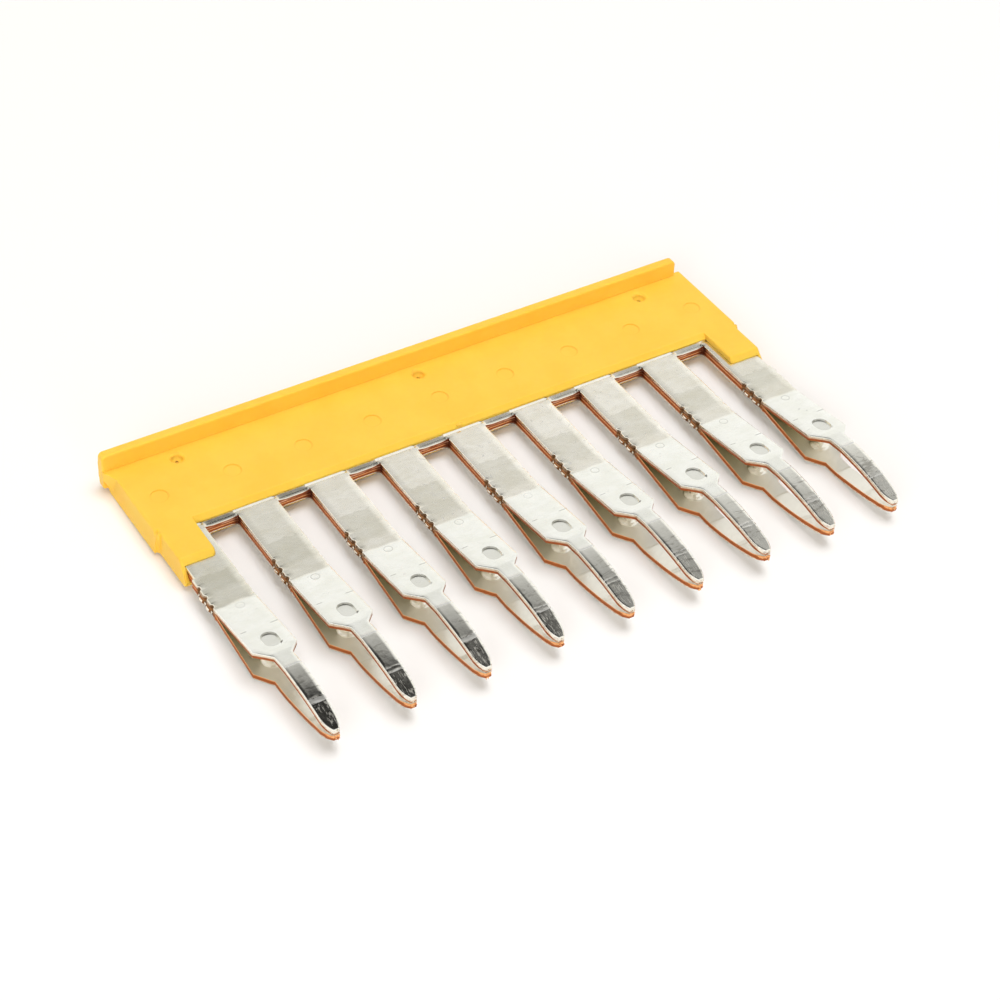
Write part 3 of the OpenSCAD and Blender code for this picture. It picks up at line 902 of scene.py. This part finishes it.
    # rubbed, rougher bands at the crown and at the nose, with a painted highlight along them
    wobble = k.math("MULTIPLY_ADD", k.noise(p, 2.6, 3.0, 0.6), 0.20, -0.10)
    fr = k.math("ADD", f, wobble)
    torn = k.remap(k.noise(k.coords((2300, 6000, 3000)), 1.0, 3.0, 0.6), 0.40, 0.56)
    crown = k.math("MULTIPLY", band(k, fr, 13.92, 0.09), k.math("MULTIPLY_ADD", torn, 0.5, 0.5))
    noses = k.math("MULTIPLY", k.math("MAXIMUM", band(k, fr, 16.67, 0.05), band(k, fr, 16.97, 0.06)), torn)
    streak = k.noise(k.coords((7000, 1500, 3000), (2, 2, 8)), 1.0, 4.0, 0.65, 0.7)
    on_nose = k.math("MULTIPLY", k.remap(f, 17.0, 17.2), k.remap(f, 18.5, 18.95, 1.0, 0.35))
    streak = k.math("MULTIPLY", k.remap(streak, 0.52, 0.64), on_nose)
    between = per_leg(k, leg, (0.75, 0.1, 0.8, 0.3, 0.15, 0.2, 0.1, 0.2, 0.3))
    between = k.math("MULTIPLY", between, band(k, fr, 16.82, 0.20))
    rub_and_highlight = k.math("MAXIMUM", k.math("MAXIMUM", crown, noses), between)
    # painted highlight on the rubbed bands, with the light scuffs of the straight part
    tone = k.mix(k.math("MULTIPLY", k.math("MAXIMUM", rub_and_highlight, spark), 0.8), tone, (0.97, 0.965, 0.94, 1))
    # painted shade on the inner faces, darker where the blades lie close together
    inner_shade = k.mix(k.remap(f, 7.0, 12.5), (0.72, 0.66, 0.46, 1), (0.88, 0.85, 0.76, 1))
    tone = k.mix(outer, inner_shade, tone)
    k.put(s.inputs["Base Color"], tone)
    s.inputs["Metallic"].default_value = 1.0
    rough = k.math("MULTIPLY_ADD", prong, -0.12, 0.25)
    rough = k.math("MULTIPLY_ADD", k.math("SUBTRACT", blotch, 0.5), 0.16, rough)
    rough = k.math("MULTIPLY_ADD", k.math("MAXIMUM", rub_and_highlight, spark), 0.40, rough)
    rough = k.math("MULTIPLY_ADD", streak, 0.32, rough)
    boss = k.remap(k.far(across, k.math("SUBTRACT", f, BOSS_F)), 0.60, 0.72, 0.0, 0.18)
    rough = k.math("MULTIPLY_ADD", k.math("SUBTRACT", 1.0, outer), boss, rough)
    k.put(s.inputs["Roughness"], rough)
    coarse = k.math("MULTIPLY", blotch, k.math("MULTIPLY_ADD", straight, 0.8, 0.3))
    height = k.math("MULTIPLY_ADD", fine, 0.35, coarse)
    height = k.math("MULTIPLY_ADD", scuff, -0.3, height)
    height = k.math("MULTIPLY", height, outer)
    b1 = k.bump(height, 0.000004, 0.7)
    b2 = k.bump(k.noise(p, 1.3, 3.0, 0.55), 0.00002, 0.35, b1)
    k.put(s.inputs["Normal"], b2)
    return mat


def edge_material(name, stops, at_tip):
    """Sheared edge of the strip: tin drawn over the cut next to the outer face, torn copper below, with
    painted shade in the nicks and at the leg's root corner and a painted highlight along the spine's front.
    """
    mat, nt, s = new_material(name)
    k = Nodes(nt)
    at = nt.nodes.new("ShaderNodeAttribute")
    at.attribute_name = "edge_v"
    v = at.outputs["Fac"]
    p = k.coords()
    f, lx, _ = leg_frame(k, p)
    jag = k.math("MULTIPLY_ADD", k.noise(p, 3.2, 4.0, 0.6), 0.26, -0.13)
    calm = k.math("MULTIPLY", k.remap(v, 0.85, 0.95, 1.0, 0.0), k.remap(v, 0.01, 0.06))
    vj = k.math("MULTIPLY_ADD", jag, calm, v)
    vj = k.math("ADD", vj, k.remap(f, 18.3, 18.8, 0.0, at_tip))
    tone = k.ramp(vj, stops)
    cloud = k.noise(p, 4.0, 4.0, 0.65)
    tone = k.mix(k.math("MULTIPLY", k.remap(cloud, 0.5, 0.75), 0.5), tone, (0.26, 0.07, 0.02, 1))
    # painted shade in the nicks of the sheared wall
    nick_shade = band(k, f, NICKS[0], 0.26)
    for c in NICKS[1:]:
        nick_shade = k.math("MAXIMUM", nick_shade, band(k, f, c, 0.26))
    nick_shade = k.math("MULTIPLY", nick_shade, k.remap(v, 0.02, 0.12))
    nick_shade = k.math("MULTIPLY", nick_shade, k.remap(cloud, 0.35, 0.6, 0.2, 0.97))
    tone = k.mix(nick_shade, tone, (0.06, 0.03, 0.012, 1))
    # painted shade in the corner where a leg meets the spine, and a painted highlight along the spine's front
    corner = k.remap(k.far(lx, f), 0.10, 0.50, 1.0, 0.0)
    tone = k.mix(k.math("MULTIPLY", corner, 0.85), tone, (0.10, 0.02, 0.01, 1))
    # painted highlight along the middle of the spine's front, broken up by noise
    front = k.math("MULTIPLY", k.remap(f, 0.03, 0.07, 1.0, 0.0), band(k, k.axis(p, "Z"), MID_Z + 0.17, 0.07))
    highlight_breaks = k.noise(k.coords((900, 300, 300), (5, 0, 0)), 1.0, 2.0, 0.5)
    front = k.math("MULTIPLY", front, k.remap(highlight_breaks, 0.35, 0.6))
    tone = k.mix(k.math("MULTIPLY", front, 0.8), tone, (0.95, 0.58, 0.38, 1))
    # brown halo round the nicks
    zone = k.math("MULTIPLY", k.remap(f, 4.3, 4.7), k.remap(f, 6.8, 7.2, 1.0, 0.0))
    zone = k.math("MULTIPLY", zone, k.remap(v, 0.02, 0.12))
    tone = k.mix(k.math("MULTIPLY", zone, 0.6), tone, (0.22, 0.12, 0.05, 1))
    k.put(s.inputs["Base Color"], tone)
    s.inputs["Metallic"].default_value = 1.0
    k.put(s.inputs["Roughness"], k.remap(vj, 0.15, 0.45, 0.24, 0.46))
    along = k.noise(k.coords((2500, 2500, 16000)), 1.0, 3.0, 0.6)
    grit = k.noise(p, 14.0, 3.0, 0.6)
    h = k.math("MULTIPLY_ADD", grit, 0.6, along)
    k.put(s.inputs["Normal"], k.bump(h, 0.00001, 0.7))
    return mat


def plastic_material():
    """Yellow moulded plastic: satin, faintly clouded, finely grained, with painted shade round the ejector
    marks' rims.
    """
    mat, nt, s = new_material("yellow_moulded_plastic")
    k = Nodes(nt)
    p = k.coords()
    f, lx, _ = leg_frame(k, p)
    cloud = k.noise(p, 0.35, 4.0, 0.6)
    spots = k.noise(p, 1.8, 3.0, 0.6)
    tone = k.mix(k.remap(cloud, 0.3, 0.7), (1.0, 0.585, 0.068, 1), (1.0, 0.625, 0.082, 1))
    tone = k.mix(k.math("MULTIPLY", k.remap(spots, 0.62, 0.78), 0.2), tone, (1.0, 0.54, 0.055, 1))
    # painted shade along the rims of the ejector marks, darker on one side
    across = k.math("SUBTRACT", lx, EJECTOR_X)
    along = k.math("ADD", f, EJECTOR_Y)
    r = k.far(across, along)
    rim = k.math("MULTIPLY", band(k, r, 0.575, 0.07), k.math("GREATER_THAN", k.axis(p, "Z"), MID_Z + 0.7))
    side = k.remap(k.math("ADD", across, k.math("MULTIPLY", along, -0.6)), -0.6, 0.5, 0.25, 0.9)
    tone = k.mix(k.math("MULTIPLY", k.math("MULTIPLY", rim, side), 0.5), tone, (0.90, 0.42, 0.03, 1))
    k.put(s.inputs["Base Color"], tone)
    k.put(s.inputs["Roughness"], k.math("MULTIPLY_ADD", spots, 0.12, 0.38))
    s.inputs["IOR"].default_value = 1.5
    s.inputs["Specular IOR Level"].default_value = 0.30
    s.inputs["Subsurface Weight"].default_value = 0.35
    s.inputs["Subsurface Radius"].default_value = (1.0, 0.6, 0.15)
    s.inputs["Subsurface Scale"].default_value = 0.0004
    grain = k.noise(p, 9.0, 3.0, 0.6)
    fine = k.noise(p, 40.0, 2.0, 0.5)
    h = k.math("MULTIPLY_ADD", fine, 0.2, grain)
    b1 = k.bump(h, 0.000006, 0.5)
    b2 = k.bump(k.noise(p, 0.5, 2.0, 0.5), 0.00006, 0.4, b1)
    k.put(s.inputs["Normal"], b2)
    return mat


def table_material():
    """White table: keeps the part's shadow, and reads as white to the camera and in reflections."""
    mat = bpy.data.materials.new("white_table")
    nt = empty_tree(mat)
    k = Nodes(nt)
    out = nt.nodes.new("ShaderNodeOutputMaterial")
    paper = nt.nodes.new("ShaderNodeBsdfDiffuse")
    paper.inputs["Color"].default_value = (0.92, 0.91, 0.90, 1)
    glow = nt.nodes.new("ShaderNodeEmission")
    glow.inputs["Color"].default_value = (1, 1, 1, 1)
    path = nt.nodes.new("ShaderNodeLightPath")
    seen = k.math("MAXIMUM", path.outputs["Is Camera Ray"], path.outputs["Is Glossy Ray"])
    seen = k.math("MAXIMUM", seen, path.outputs["Is Transmission Ray"])
    k.put(glow.inputs["Strength"], k.math("MULTIPLY", seen, 0.05))
    add = nt.nodes.new("ShaderNodeAddShader")
    nt.links.new(paper.outputs[0], add.inputs[0])
    nt.links.new(glow.outputs[0], add.inputs[1])
    nt.links.new(add.outputs[0], out.inputs[0])
    return mat


# Light

# Brightness of the mirrored room, by the angle in degrees from the middle of the dark patch
ROOM_STOPS = [(19, 0.02), (20, 0.05), (21.2, 0.10), (22.9, 0.25), (24, 0.32), (26, 0.38), (28.5, 0.43),
              (31, 0.54), (34.5, 0.66), (38, 0.80), (41, 0.88), (45, 0.95), (50, 1.02), (53, 1.08)]


def world_light():
    """White room. What the metal mirrors fades from white at the walls to a dark patch nearly overhead."""
    world = bpy.data.worlds.new("room")
    bpy.context.scene.world = world
    nt = empty_tree(world)
    k = Nodes(nt)
    out = nt.nodes.new("ShaderNodeOutputWorld")
    tc = nt.nodes.new("ShaderNodeTexCoord")
    az, el = math.radians(30), math.radians(82)
    dot = nt.nodes.new("ShaderNodeVectorMath")
    dot.operation = "DOT_PRODUCT"
    nt.links.new(tc.outputs["Generated"], dot.inputs[0])
    dot.inputs[1].default_value = (math.sin(az) * math.cos(el), math.cos(az) * math.cos(el), math.sin(el))
    angle = k.math("DIVIDE", k.math("ARCCOSINE", dot.outputs["Value"]), math.radians(90))
    mirrored = k.ramp(angle, [(a / 90, (v, v, v * 0.985, 1)) for a, v in ROOM_STOPS])
    soft = nt.nodes.new("ShaderNodeBackground")
    # the light that falls on the bar comes mostly from above and a little from behind
    height = k.math("MULTIPLY", k.axis(tc.outputs["Generated"], "Z"), 0.85)
    behind = k.math("MULTIPLY_ADD", k.axis(tc.outputs["Generated"], "Y"), 0.35, height)
    k.put(soft.inputs["Color"], k.ramp(behind, [(0.0, (0.12, 0.08, 0.05, 1)), (0.35, (0.31, 0.25, 0.19, 1)),
                                               (0.85, (0.67, 0.63, 0.57, 1))]))
    white = nt.nodes.new("ShaderNodeBackground")
    white.inputs["Color"].default_value = (1, 1, 1, 1)
    white.inputs["Strength"].default_value = 1.0
    room = nt.nodes.new("ShaderNodeBackground")
    k.put(room.inputs["Color"], mirrored)
    room.inputs["Strength"].default_value = 1.0
    path = nt.nodes.new("ShaderNodeLightPath")
    m1 = nt.nodes.new("ShaderNodeMixShader")
    m2 = nt.nodes.new("ShaderNodeMixShader")
    nt.links.new(path.outputs["Is Glossy Ray"], m1.inputs[0])
    nt.links.new(soft.outputs[0], m1.inputs[1])
    nt.links.new(room.outputs[0], m1.inputs[2])
    seen = k.math("MAXIMUM", path.outputs["Is Camera Ray"], path.outputs["Is Transmission Ray"])
    k.put(m2.inputs[0], seen)
    nt.links.new(m1.outputs[0], m2.inputs[1])
    nt.links.new(white.outputs[0], m2.inputs[2])
    nt.links.new(m2.outputs[0], out.inputs[0])


DAYLIGHT = (0.97, 1.0, 1.04)
MIDDLE = (0, 0, 0)


def lamp(name, at, to, size, power, colour):
    """A round lamp that no reflection shows."""
    data = bpy.data.lights.new(name, "AREA")
    data.shape = "DISK"
    data.size = size
    data.energy = power
    data.color = colour
    obj = bpy.data.objects.new(name, data)
    obj.location = at
    obj.rotation_euler = (Vector(to) - Vector(at)).to_track_quat("-Z", "Y").to_euler()
    obj.visible_glossy = False
    bpy.context.scene.collection.objects.link(obj)
    return obj


# Camera

# The photograph's camera: angles in degrees, place and distance in mm, focal length in pixels
VIEW_ANGLES = (-33.878, 41.695, 3.304)
VIEW_X, VIEW_Y = 20.17, -6.77
VIEW_FAR = 152.93
FOCAL_PX = 2413.7
PICTURE_PX = 1000
SENSOR = 36


def add_camera():
    """Camera at the photograph's angle."""
    az, el, roll = (math.radians(v) for v in VIEW_ANGLES)
    back = Vector((math.sin(az) * math.cos(el), -math.cos(az) * math.cos(el), math.sin(el)))
    right = Vector((math.cos(az), math.sin(az), 0))
    up = back.cross(right)
    c, s = math.cos(roll), math.sin(roll)
    right, up = c * right + s * up, -s * right + c * up
    target = Vector((VIEW_X - CENTRE_X, VIEW_Y - CENTRE_Y, MID_Z + STRIP))
    place = (target + back * VIEW_FAR) * MM
    data = bpy.data.cameras.new("camera")
    data.lens = FOCAL_PX * SENSOR / PICTURE_PX
    data.sensor_width = SENSOR
    data.clip_start = 0.01
    data.clip_end = 10
    cam = bpy.data.objects.new("camera", data)
    m = Matrix((right, up, back)).transposed().to_4x4()
    m.translation = place
    cam.matrix_world = m
    bpy.context.scene.collection.objects.link(cam)
    bpy.context.scene.camera = cam


def add_table():
    """Table under the bar, touching the lower crowns and the back edge of the body."""
    crown_y = -CROWN_F - CENTRE_Y
    heel_y = 6.99 - CENTRE_Y
    heel_z = MID_Z - 0.825
    slope = heel_z / (heel_y - crown_y)
    b = bmesh.new()
    bmesh.ops.create_circle(b, cap_ends=True, radius=0.9, segments=96)
    data = bpy.data.meshes.new("table")
    b.to_mesh(data)
    b.free()
    obj = bpy.data.objects.new("table", data)
    obj.rotation_euler = (math.atan(slope), 0, 0)
    obj.location = (0, 0, -0.00001 - slope * crown_y * MM)
    bpy.context.scene.collection.objects.link(obj)
    data.materials.append(table_material())


# Build

tin = tin_material()
upper_cut = edge_material("sheared_upper_edge", [
    (0.0, (0.88, 0.84, 0.74, 1)),
    (0.20, (0.80, 0.72, 0.58, 1)),
    (0.36, (0.70, 0.52, 0.36, 1)),
    (0.48, (0.46, 0.14, 0.05, 1)),
    (0.80, (0.40, 0.11, 0.035, 1)),
    (1.0, (0.52, 0.17, 0.06, 1))], -0.45)
lower_cut = edge_material("sheared_lower_edge", [
    (0.0, (0.94, 0.88, 0.76, 1)),
    (0.17, (0.88, 0.76, 0.58, 1)),
    (0.25, (0.50, 0.16, 0.05, 1)),
    (0.6, (0.42, 0.12, 0.035, 1)),
    (0.92, (0.60, 0.20, 0.07, 1)),
    # the last stop is a painted highlight on the chamfer along the lower strip's inner edge
    (0.97, (0.95, 0.50, 0.22, 1))], 0.35)
upper = make_comb("upper_blades", 0, False)
lower = make_comb("lower_blades", 1, True)
for obj, node, cut in ((upper, "upper_contact_comb", upper_cut), (lower, "lower_contact_comb", lower_cut)):
    obj.data.materials.append(tin)
    obj.data.materials.append(cut)
    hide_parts(node)
    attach(obj, "root")
body = make_body()
body.data.materials.append(plastic_material())
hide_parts("insulating_body")
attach(body, "root")

add_camera()
add_table()
world_light()
lamp("key", (0.10, 0.0, 0.50), MIDDLE, 0.36, 1.46, DAYLIGHT)
lamp("fill", (-0.40, -0.30, 0.20), MIDDLE, 0.35, 1.15, DAYLIGHT)
lamp("front", (-0.03, -0.45, 0.075), MIDDLE, 0.20, 0.45, (1.0, 1.0, 1.0))

scene = bpy.context.scene
scene.view_settings.view_transform = "Standard"
